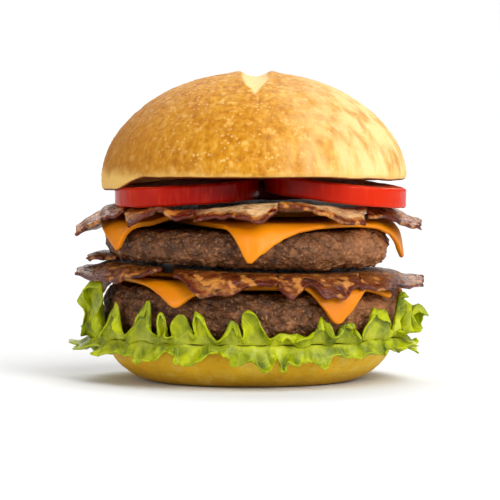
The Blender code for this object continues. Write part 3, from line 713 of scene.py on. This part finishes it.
class Finish:
    """A material being put together: a Principled shader and the nodes that feed it."""

    def __init__(self, name, roughness, **fixed):
        self.material = bpy.data.materials.new(name)
        self.material.use_nodes = True
        self.tree = self.material.node_tree
        self.shader = self.tree.nodes["Principled BSDF"]
        self.shader.inputs["Roughness"].default_value = roughness
        for words, value in fixed.items():
            self.shader.inputs[words.replace("_", " ")].default_value = value
        self.place = self.tree.nodes.new("ShaderNodeTexCoord").outputs["Object"]

    def feed(self, socket, value):
        if isinstance(value, bpy.types.NodeSocket):
            self.tree.links.new(value, socket)
        else:
            socket.default_value = value

    def axis(self, letter):
        """A coordinate of the surface, in metres."""
        split = self.tree.nodes.new("ShaderNodeSeparateXYZ")
        self.feed(split.inputs[0], self.place)
        return split.outputs[letter]

    def stretched(self, x, y, z):
        """The surface's place, scaled along each axis."""
        made = self.tree.nodes.new("ShaderNodeMapping")
        self.feed(made.inputs["Vector"], self.place)
        made.inputs["Scale"].default_value = (x, y, z)
        return made.outputs["Vector"]

    def noise(self, size_mm, detail=3.0, place=None, distortion=0.0):
        made = self.tree.nodes.new("ShaderNodeTexNoise")
        self.feed(made.inputs["Vector"], place or self.place)
        made.inputs["Scale"].default_value = 1000.0 / size_mm
        made.inputs["Detail"].default_value = detail
        made.inputs["Distortion"].default_value = distortion
        return made.outputs["Fac"]

    def cells(self, size_mm, feature="F1", place=None):
        made = self.tree.nodes.new("ShaderNodeTexVoronoi")
        made.feature = feature
        self.feed(made.inputs["Vector"], place or self.place)
        made.inputs["Scale"].default_value = 1000.0 / size_mm
        return made.outputs["Distance"]

    def ramp(self, value, *stops):
        made = self.tree.nodes.new("ShaderNodeValToRGB")
        self.feed(made.inputs["Fac"], value)
        elements = made.color_ramp.elements
        while len(elements) < len(stops):
            elements.new(0.5)
        for element, (position, colour) in zip(elements, stops):
            element.position = position
            element.color = colour
        return made.outputs["Color"]

    def mix(self, share, first, second):
        """The first colour at share 0 and the second at share 1."""
        made = self.tree.nodes.new("ShaderNodeMix")
        made.data_type = "RGBA"
        self.feed(made.inputs[0], share)
        self.feed(made.inputs[6], first)
        self.feed(made.inputs[7], second)
        return made.outputs[2]

    def sums(self, how, first, second):
        made = self.tree.nodes.new("ShaderNodeMath")
        made.operation = how
        self.feed(made.inputs[0], first)
        self.feed(made.inputs[1], second)
        return made.outputs[0]

    def step(self, value, low, high, start=0.0, end=1.0):
        """Goes smoothly from start to end as the value goes from low to high."""
        made = self.tree.nodes.new("ShaderNodeMapRange")
        made.interpolation_type = "SMOOTHSTEP"
        self.feed(made.inputs["Value"], value)
        made.inputs["From Min"].default_value = low
        made.inputs["From Max"].default_value = high
        made.inputs["To Min"].default_value = start
        made.inputs["To Max"].default_value = end
        return made.outputs["Result"]

    def facing_up(self):
        """1 where the surface faces up, -1 where it faces down and 0 where it is upright."""
        shape = self.tree.nodes.new("ShaderNodeNewGeometry")
        split = self.tree.nodes.new("ShaderNodeSeparateXYZ")
        self.feed(split.inputs[0], shape.outputs["Normal"])
        return split.outputs["Z"]

    def translucent(self, weight, reach, depth_mm):
        """Light goes in and comes out near by: reach says how far for red, green and blue."""
        self.shader.inputs["Subsurface Weight"].default_value = weight
        self.shader.inputs["Subsurface Radius"].default_value = reach
        self.shader.inputs["Subsurface Scale"].default_value = depth_mm * MM

    def bump(self, height, depth_mm):
        made = self.tree.nodes.new("ShaderNodeBump")
        made.inputs["Strength"].default_value = 1.0
        made.inputs["Distance"].default_value = depth_mm * MM
        self.feed(made.inputs["Height"], height)
        self.tree.links.new(made.outputs["Normal"], self.shader.inputs["Normal"])

    def colour(self, value):
        self.feed(self.shader.inputs["Base Color"], value)

    def roughness(self, value):
        self.feed(self.shader.inputs["Roughness"], value)


def top_crust():
    """Golden crust: mottled, flecked with pale blisters, paler at its rim, and with painted
    light making it paler in streaks to the right.

    The baker's cut on the crown is pale, and so narrow at the ends that it closes.
    """
    look = Finish("top_crust", 0.6, Specular_IOR_Level=0.08)
    tone = look.ramp(look.noise(16.0, 5.0),
                     (0.3, paint(150, 90, 8)), (0.5, paint(176, 116, 16)),
                     (0.7, paint(194, 142, 36)))
    mottle = look.ramp(look.noise(2.2, 6.0, look.stretched(1.0, 1.0, 0.6)),
                       (0.3, paint(136, 72, 6)), (0.52, paint(190, 128, 26)),
                       (0.74, paint(218, 174, 78)))
    tone = look.mix(0.55, tone, mottle)
    flecks = look.step(look.cells(1.5, place=look.stretched(1.0, 1.0, 0.8)), 0.4, 0.12)
    flecks = look.sums("MULTIPLY", flecks, look.step(look.noise(5.0), 0.42, 0.66, 0.0, 0.5))
    tone = look.mix(flecks, tone, paint(240, 206, 136))
    blotches = look.step(look.noise(3.6, 3.0), 0.58, 0.72, 0.0, 0.4)
    tone = look.mix(blotches, tone, paint(232, 192, 116))
    # Painted highlight: pale streaks on the right side, where the key light falls.
    streaks = look.noise(6.0, 4.0, look.stretched(1.0, 1.0, 0.2))
    right = look.step(look.axis("X"), -0.002, 0.046)
    pale = look.sums("MULTIPLY", right, look.step(streaks, 0.34, 0.6, 0.3, 0.95))
    tone = look.mix(pale, tone, paint(238, 198, 136))
    # Painted shade: darker towards the left, away from the key light.
    left = look.step(look.axis("X"), -0.008, -0.05, 0.0, 0.6)
    tone = look.mix(left, tone, paint(160, 102, 38))
    cut_x, cut_wobble = 0.0018, 0.0022
    from_cut = look.sums("ABSOLUTE", look.sums("SUBTRACT", look.axis("X"), cut_x), 0.0)
    wobble = look.sums("MULTIPLY", look.noise(2.5, 4.0), cut_wobble)
    from_cut = look.sums("ADD", from_cut, wobble)
    half_width = look.step(look.axis("Z"), 0.1, 0.107, 0.0012, 0.0062)
    in_cut = look.step(look.sums("SUBTRACT", from_cut, half_width), 0.0, -0.0014, 0.0, 0.85)
    in_cut = look.sums("MULTIPLY", in_cut, look.step(look.axis("Z"), 0.0985, 0.1025))
    tone = look.mix(in_cut, tone, paint(228, 196, 136))
    rim_wobble = look.sums("MULTIPLY", look.noise(9.0), 0.008)
    rim = look.step(look.sums("SUBTRACT", look.axis("Z"), rim_wobble), 0.0725, 0.067, 0.0, 0.8)
    tone = look.mix(rim, tone, paint(226, 186, 104))
    # Painted shade: dark red brown where the surface faces down, under the bun.
    painted_shade_below = look.step(look.facing_up(), -0.45, -0.8)
    tone = look.mix(painted_shade_below, tone, paint(92, 30, 10))
    look.colour(tone)
    look.roughness(look.step(look.noise(3.0), 0.3, 0.7, 0.5, 0.7))
    look.bump(look.sums("ADD", look.noise(1.3, 5.0), look.sums("MULTIPLY", flecks, 0.3)), 0.35)
    return look.material


def pale_crust():
    """The bottom bun's crust: pale yellow tan, with painted shade making it browner where it is
    lowest.
    """
    look = Finish("pale_crust_look", 0.55, Specular_IOR_Level=0.14)
    tone = look.ramp(look.noise(14.0, 5.0),
                     (0.3, paint(214, 160, 22)), (0.55, paint(230, 184, 36)),
                     (0.75, paint(240, 200, 64)))
    # Painted shade: browner and darker low on the side, under the bun's swell.
    low = look.step(look.axis("Z"), 0.009, 0.001, 0.0, 0.75)
    tone = look.mix(low, tone, paint(178, 130, 4))
    blotches = look.step(look.noise(5.0, 5.0), 0.5, 0.7, 0.0, 0.4)
    tone = look.mix(blotches, tone, paint(226, 202, 96))
    flecks = look.step(look.noise(1.6, 4.0), 0.58, 0.72, 0.0, 0.45)
    tone = look.mix(flecks, tone, paint(170, 122, 24))
    look.colour(tone)
    look.bump(look.sums("ADD", look.noise(1.2, 5.0), look.noise(4.0)), 0.4)
    return look.material


def beef():
    """Browned minced beef: grey brown grains with lighter specks, moist, and with painted light
    making it pinker and lighter in patches towards the right.
    """
    look = Finish("beef", 0.5, Specular_IOR_Level=0.3)
    tone = look.ramp(look.noise(5.5, 6.0, distortion=0.6),
                     (0.28, paint(50, 26, 8)), (0.46, paint(90, 52, 24)),
                     (0.62, paint(120, 74, 40)), (0.78, paint(160, 108, 68)))
    grains_dark = look.step(look.cells(2.6), 0.46, 0.8, 0.0, 0.75)
    tone = look.mix(grains_dark, tone, paint(56, 30, 10))
    # Painted light: pinker and lighter in patches towards the right, where the key light falls.
    painted_light_right = look.step(look.axis("X"), 0.015, 0.05, 0.0, 0.9)
    tone = look.mix(look.sums("MULTIPLY", painted_light_right, look.noise(9.0)), tone, paint(206, 136, 84))
    fine = look.step(look.noise(1.0, 4.0), 0.54, 0.72, 0.0, 0.5)
    tone = look.mix(fine, tone, paint(180, 132, 88))
    look.colour(tone)
    look.roughness(look.step(look.noise(2.2), 0.35, 0.7, 0.34, 0.7))
    look.bump(look.sums("ADD", look.noise(0.9, 5.0), look.cells(1.5)), 0.7)
    return look.material


def processed_cheese():
    """Orange-yellow cheese: smooth, satin and slightly translucent."""
    look = Finish("processed_cheese", 0.4, Specular_IOR_Level=0.22)
    look.translucent(0.25, (1.0, 0.45, 0.1), 2.5)
    tone = look.ramp(look.noise(18.0, 2.0),
                     (0.35, paint(202, 115, 0)), (0.65, paint(214, 129, 0)))
    look.colour(tone)
    look.bump(look.noise(2.6, 3.0), 0.08)
    return look.material


def streaky_bacon():
    """Fried bacon: dark at its ends, bands of lean and amber fat behind, and charred spots.

    The two strips over the upper cheese in front show a broad pale band of fat.
    """
    look = Finish("streaky_bacon", 0.3, Specular_IOR_Level=0.34)
    along = look.tree.nodes.new("ShaderNodeUVMap")
    along.uv_map = "strip"
    split = look.tree.nodes.new("ShaderNodeSeparateXYZ")
    look.feed(split.inputs[0], along.outputs["UV"])
    from_end = split.outputs["Y"]
    drift = look.step(look.noise(9.0, 3.0, look.stretched(0.7, 1.0, 1.0)), 0.25, 0.75, -0.4, 0.4)
    band = look.sums("ADD", from_end, drift)
    tone = look.ramp(band,
                     (0.0, paint(84, 16, 8)), (0.12, paint(112, 28, 14)),
                     (0.22, paint(158, 84, 26)), (0.4, paint(196, 134, 66)),
                     (0.54, paint(164, 86, 20)), (0.66, paint(96, 28, 10)),
                     (0.8, paint(150, 82, 28)), (1.0, paint(168, 108, 50)))
    fibre = look.noise(1.8, 5.0, look.stretched(0.25, 1.0, 1.6))
    tone = look.mix(look.step(fibre, 0.4, 0.66, 0.0, 0.6), tone, paint(74, 24, 8))
    fried = look.step(look.noise(4.4, 4.0), 0.42, 0.66, 0.0, 0.75)
    tone = look.mix(fried, tone, paint(122, 58, 8))
    # Painted shade: darker low in the stack, on the lower strips under the upper patty.
    low = look.step(look.axis("Z"), 0.052, 0.046, 0.0, 0.5)
    tone = look.mix(low, tone, paint(84, 34, 2))
    dark_zones = look.step(look.noise(8.0, 3.0), 0.5, 0.64, 0.0, 0.7)
    tone = look.mix(dark_zones, tone, paint(78, 26, 4))
    rim_wobble = look.step(look.noise(2.4, 4.0), 0.3, 0.7, -0.12, 0.12)
    rim = look.step(look.sums("ADD", from_end, rim_wobble), 0.16, 0.04, 0.0, 0.85)
    tone = look.mix(rim, tone, paint(82, 22, 3))
    amber = look.step(look.noise(5.0, 2.0), 0.54, 0.66, 0.0, 0.7)
    tone = look.mix(amber, tone, paint(204, 134, 58))
    fatty_x = 0.012
    beside = look.sums("ABSOLUTE", look.sums("SUBTRACT", look.axis("X"), fatty_x), 0.0)
    fatty = look.sums("MULTIPLY", look.step(beside, 0.032, 0.026),
                      look.step(look.axis("Z"), 0.05, 0.056))
    fatty = look.sums("MULTIPLY", fatty, look.step(from_end, 0.24, 0.42))
    fatty = look.sums("MULTIPLY", fatty, look.step(look.noise(5.0, 4.0), 0.34, 0.52, 0.2, 0.8))
    tone = look.mix(fatty, tone, paint(208, 168, 118))
    charred = look.step(look.noise(2.8, 4.0), 0.54, 0.68, 0.0, 0.85)
    tone = look.mix(look.sums("MULTIPLY", charred, look.step(fatty, 0.6, 0.1, 0.3, 1.0)),
                    tone, paint(44, 14, 4))
    look.colour(tone)
    look.roughness(look.step(look.noise(2.0), 0.3, 0.7, 0.16, 0.42))
    wrinkle = look.noise(3.2, 4.0, look.stretched(0.5, 1.0, 1.3))
    look.bump(look.sums("ADD", look.noise(1.3, 5.0), look.sums("ADD", fibre, wrinkle)), 0.6)
    return look.material


def ripe_tomato():
    """Tomato: glossy red skin and paler cut faces; painted shade makes the skin deeper towards
    the middle of the stack, and painted light brighter towards its ends.
    """
    look = Finish("ripe_tomato", 0.26, Specular_IOR_Level=0.12)
    look.translucent(0.2, (1.0, 0.2, 0.1), 2.0)
    # Painted shade and light: the skin is a shaded deep red, brightened towards the right and
    # less towards the left end, where the key light falls.
    skin = look.ramp(look.noise(12.0, 3.0),
                     (0.3, paint(134, 3, 0)), (0.7, paint(152, 8, 0)))
    skin = look.mix(look.step(look.axis("X"), 0.008, 0.05, 0.0, 0.9), skin, paint(196, 36, 0))
    skin = look.mix(look.step(look.axis("X"), -0.016, -0.045, 0.0, 0.8), skin, paint(164, 26, 2))
    streak = look.noise(1.6, 3.0, look.stretched(1.0, 1.0, 0.15))
    skin = look.mix(look.step(streak, 0.5, 0.75, 0.0, 0.2), skin, paint(232, 80, 24))
    flesh = look.ramp(look.noise(3.4, 4.0),
                      (0.35, paint(190, 30, 10)), (0.6, paint(214, 72, 34)),
                      (0.8, paint(230, 120, 66)))
    flat = look.sums("ABSOLUTE", look.facing_up(), 0.0)
    look.colour(look.mix(look.step(flat, 0.75, 0.95), skin, flesh))
    look.bump(look.noise(3.0, 3.0), 0.1)
    return look.material


def lettuce():
    """Fresh lettuce: yellow green, paler on the ribs, translucent, with a painted highlight
    making the frilled edge paler.
    """
    look = Finish("lettuce", 0.34, Specular_IOR_Level=0.22)
    look.translucent(0.3, (0.6, 1.0, 0.1), 1.5)
    out = look.tree.nodes.new("ShaderNodeAttribute")
    out.attribute_name = "out"
    tone = look.ramp(look.noise(7.0, 4.0),
                     (0.3, paint(62, 80, 0)), (0.48, paint(122, 132, 0)),
                     (0.68, paint(176, 182, 0)))
    # Painted highlight: paler towards the frilled edge, where light catches the frills.
    edge = look.step(out.outputs["Fac"], 0.72, 1.0, 0.0, 0.5)
    tone = look.mix(edge, tone, paint(176, 186, 0))
    root = look.step(out.outputs["Fac"], 0.62, 0.25, 0.0, 0.6)
    tone = look.mix(root, tone, paint(200, 202, 66))
    veins = look.step(look.cells(6.0, "DISTANCE_TO_EDGE"), 0.05, 0.0, 0.0, 0.15)
    tone = look.mix(veins, tone, paint(220, 226, 96))
    look.colour(tone)
    look.bump(look.sums("ADD", look.noise(2.4, 4.0), veins), 0.5)
    return look.material


# The burger.

def build_burger():
    bun_crust = top_crust()
    bottom_crust = pale_crust()
    meat = beef()
    cheese = processed_cheese()
    bacon = streaky_bacon()
    tomato = ripe_tomato()
    leaf_green = lettuce()

    turned_body("bun_bottom", BUN_MESH, bun_bottom_point, bottom_crust, "pale_crust")
    leaf_sheet(LEAF_UNDER, leaf_green)
    leaf_sheet(LEAF_OVER, leaf_green)

    floors = ((PATTY_LOWER, CHEESE_LOWER, BACON_LOWER), (PATTY_UPPER, CHEESE_UPPER, BACON_UPPER))
    for patty, slices, strips in floors:
        turned_body(patty.name, PATTY_MESH,
                    lambda azimuth, fall: patty_point(patty, azimuth, fall), meat, "meat")
        under = None
        for piece in slices:
            turned_body(piece.name, CHEESE_MESH,
                        lambda azimuth, fall: cheese_point(patty, piece, under, azimuth, fall),
                        cheese, "cheese")
            under = piece
        for strip in strips:
            sheet_from_grid(strip.name, BACON_MESH,
                            lambda u, v: bacon_point(patty, strip, u, v),
                            BACON_LOOK_THICKNESS, bacon, "bacon")

    for disc in TOMATOES:
        turned_body(disc.name, TOMATO_MESH,
                    lambda azimuth, fall: tomato_point(disc, azimuth, fall), tomato, "tomato")
    turned_body("bun_top", BUN_MESH, bun_top_point, bun_crust, "crust")


# The studio.

def area_light(name, location, size, watts):
    """A square soft light that faces the middle of the burger."""
    data = bpy.data.lights.new(name, "AREA")
    data.energy = watts
    data.size = size
    made = bpy.data.objects.new(name, data)
    made.location = location
    aim = Vector((0.0, 0.0, 0.05)) - Vector(location)
    made.rotation_euler = aim.to_track_quat("-Z", "Y").to_euler()
    bpy.context.scene.collection.objects.link(made)


def soft_sun(name, direction, strength, spread_deg):
    """Even light from one side, as from a large soft box far away."""
    data = bpy.data.lights.new(name, "SUN")
    data.energy = strength
    data.angle = math.radians(spread_deg)
    made = bpy.data.objects.new(name, data)
    made.rotation_euler = Vector(direction).to_track_quat("Z", "Y").to_euler()
    bpy.context.scene.collection.objects.link(made)


def stage_floor(name, side, material):
    """A floor so wide that it fills the picture's background too."""
    bpy.ops.mesh.primitive_plane_add(size=side)
    plane = bpy.context.object
    plane.name = name
    plane.data.materials.append(material)


def build_studio():
    """White floor, soft key from the upper right, light from behind and weak light all round."""
    floor_side, floor_grey, air_strength = 60.0, 0.73, 0.3
    white = Finish("floor_white", 0.9, Specular_IOR_Level=0.0)
    white.colour((floor_grey, floor_grey, floor_grey, 1.0))
    stage_floor("studio_floor", floor_side, white.material)

    world = bpy.data.worlds.new("studio_air")
    world.use_nodes = True
    background = world.node_tree.nodes["Background"]
    background.inputs["Color"].default_value = (1.0, 1.0, 1.0, 1.0)
    background.inputs["Strength"].default_value = air_strength
    bpy.context.scene.world = world

    soft_sun("key", (0.68, -0.62, 0.8), 2.6, 70.0)
    soft_sun("back", (-0.05, 0.75, 0.8), 2.4, 60.0)
    area_light("highlight", (0.5, -0.9, 0.5), 0.3, 5.0)
    area_light("left_highlight", (-0.8, -0.6, 0.35), 0.4, 3.0)
    bpy.context.scene.view_settings.view_transform = "Standard"


def build_camera():
    """The photograph's camera: far away, with a long lens, a little above the table."""
    distance, elevation_deg, aim_height, frame_width = 2.0, 3.55, 0.0455, 0.176
    data = bpy.data.cameras.new("photo_camera")
    data.sensor_width = 36.0
    data.lens = data.sensor_width * distance / frame_width
    camera = bpy.data.objects.new("photo_camera", data)
    rise = math.radians(elevation_deg)
    aim = Vector((0.0, 0.0, aim_height))
    back = Vector((0.0, -math.cos(rise), math.sin(rise)))
    camera.location = aim + back * distance
    camera.rotation_euler = (-back).to_track_quat("-Z", "Y").to_euler()
    bpy.context.scene.collection.objects.link(camera)
    bpy.context.scene.camera = camera


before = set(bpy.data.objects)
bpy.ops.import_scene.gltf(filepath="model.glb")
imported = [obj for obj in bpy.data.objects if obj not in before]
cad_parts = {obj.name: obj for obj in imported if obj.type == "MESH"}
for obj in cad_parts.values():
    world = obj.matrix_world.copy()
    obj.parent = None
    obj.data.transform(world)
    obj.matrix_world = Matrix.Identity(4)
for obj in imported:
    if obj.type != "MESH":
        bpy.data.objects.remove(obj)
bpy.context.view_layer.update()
build_burger()
build_studio()
build_camera()
